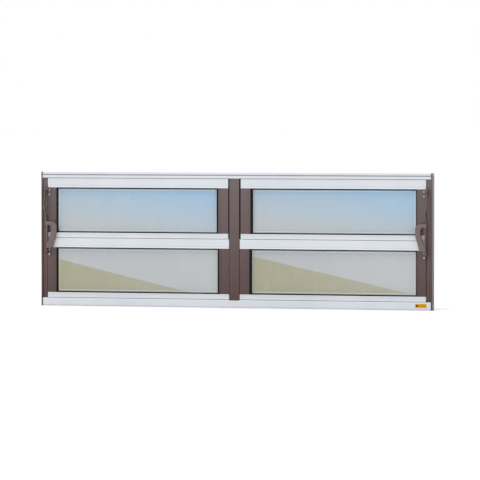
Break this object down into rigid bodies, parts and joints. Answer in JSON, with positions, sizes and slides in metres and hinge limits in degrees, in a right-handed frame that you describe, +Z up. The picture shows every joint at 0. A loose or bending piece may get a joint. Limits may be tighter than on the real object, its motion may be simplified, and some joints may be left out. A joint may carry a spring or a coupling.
{
  "type": "centre-pivot window with lever handles",
  "caption": "Wide two-section window: a centre-pivot sash over a fixed light in each section, white rails, bronze uprights and mullion, and a D-handled crank lever at each jamb.",
  "frame": {"origin": "middle of the sill's underside, in the plane of the glass", "axes": "+X along the window to the right seen from the room, +Y outdoors, +Z up"},
  "size_m": [1.2, 0.049, 0.4],
  "materials": {
    "white_coat": "satin powder coat on extruded aluminium",
    "bronze_coat": "satin bronze powder coat on extruded aluminium",
    "handle_bronze": "satin bronze coat on cast aluminium",
    "glass": "clear float glass",
    "gasket_rubber": "black rubber",
    "weather_strip": "black weather strip",
    "steel": "zinc-plated steel",
    "bronzed_steel": "steel pins and rivets with a bronze coat",
    "bush_plastic": "moulded nylon",
    "label": "printed film"
  },
  "bodies": {
    "frame": {"head": "white_coat", "sill": "white_coat", "jamb_left": "bronze_coat", "jamb_right": "bronze_coat", "mullion": "bronze_coat", "frame_screws": "steel", "mullion_seals": "weather_strip", "jamb_seals": "weather_strip", "head_seals": "weather_strip", "sill_seals": "weather_strip", "pivot_bushes": "bush_plastic", "sill_label": "label", "left_lower_top_rail": "white_coat", "left_lower_bottom_rail": "white_coat", "left_lower_jamb_stile": "bronze_coat", "left_lower_mullion_stile": "bronze_coat", "left_lower_glass": "glass", "left_lower_gasket": "gasket_rubber", "left_lower_side_pins": "steel", "left_lower_bracket": "bronze_coat", "left_lower_bracket_screws": "steel", "left_lever_pin": "bronzed_steel", "right_lower_top_rail": "white_coat", "right_lower_bottom_rail": "white_coat", "right_lower_jamb_stile": "bronze_coat", "right_lower_mullion_stile": "bronze_coat", "right_lower_glass": "glass", "right_lower_gasket": "gasket_rubber", "right_lower_side_pins": "steel", "right_lower_bracket": "bronze_coat", "right_lower_bracket_screws": "steel", "right_lever_pin": "bronzed_steel"},
    "left_sash": {"left_upper_top_rail": "white_coat", "left_upper_bottom_rail": "white_coat", "left_upper_jamb_stile": "bronze_coat", "left_upper_mullion_stile": "bronze_coat", "left_upper_glass": "glass", "left_upper_gasket": "gasket_rubber", "left_upper_side_pins": "steel", "left_upper_bracket": "bronze_coat", "left_upper_bracket_screws": "steel", "left_link_pin": "bronzed_steel"},
    "left_crank": {"left_lever": "bronze_coat", "left_handle": "handle_bronze", "left_lever_rivets": "bronzed_steel"},
    "left_link_bar": {"left_link": "bronze_coat"},
    "right_sash": {"right_upper_top_rail": "white_coat", "right_upper_bottom_rail": "white_coat", "right_upper_jamb_stile": "bronze_coat", "right_upper_mullion_stile": "bronze_coat", "right_upper_glass": "glass", "right_upper_gasket": "gasket_rubber", "right_upper_side_pins": "steel", "right_upper_bracket": "bronze_coat", "right_upper_bracket_screws": "steel", "right_link_pin": "bronzed_steel"},
    "right_crank": {"right_lever": "bronze_coat", "right_handle": "handle_bronze", "right_lever_rivets": "bronzed_steel"},
    "right_link_bar": {"right_link": "bronze_coat"}
  },
  "joints": [
    {"name": "left_tilt", "type": "hinge", "parent": "frame", "child": "left_sash", "pos_m": [-0.3, 0, 0.2855], "axis": [1, 0, 0], "range_deg": [0, 35]},
    {"name": "left_crank_turn", "type": "hinge", "parent": "frame", "child": "left_crank", "pos_m": [-0.582, -0.0165, 0.1622], "axis": [1, 0, 0], "range_deg": [0, 22.11]},
    {"name": "left_link_swing", "type": "hinge", "parent": "left_crank", "child": "left_link_bar", "pos_m": [-0.584, -0.0305, 0.291], "axis": [1, 0, 0], "range_deg": [-37.97, 0]},
    {"name": "right_tilt", "type": "hinge", "parent": "frame", "child": "right_sash", "pos_m": [0.3, 0, 0.2855], "axis": [1, 0, 0], "range_deg": [0, 35]},
    {"name": "right_crank_turn", "type": "hinge", "parent": "frame", "child": "right_crank", "pos_m": [0.582, -0.0165, 0.1622], "axis": [1, 0, 0], "range_deg": [0, 22.11]},
    {"name": "right_link_swing", "type": "hinge", "parent": "right_crank", "child": "right_link_bar", "pos_m": [0.584, -0.0305, 0.291], "axis": [1, 0, 0], "range_deg": [-37.97, 0]}
  ],
  "couplings": [
    {"joint": "left_crank_turn", "follows": "left_tilt", "ratio": 0.6318},
    {"joint": "left_link_swing", "follows": "left_tilt", "ratio": -1.0847},
    {"joint": "right_crank_turn", "follows": "right_tilt", "ratio": 0.6318},
    {"joint": "right_link_swing", "follows": "right_tilt", "ratio": -1.0847}
  ]
}
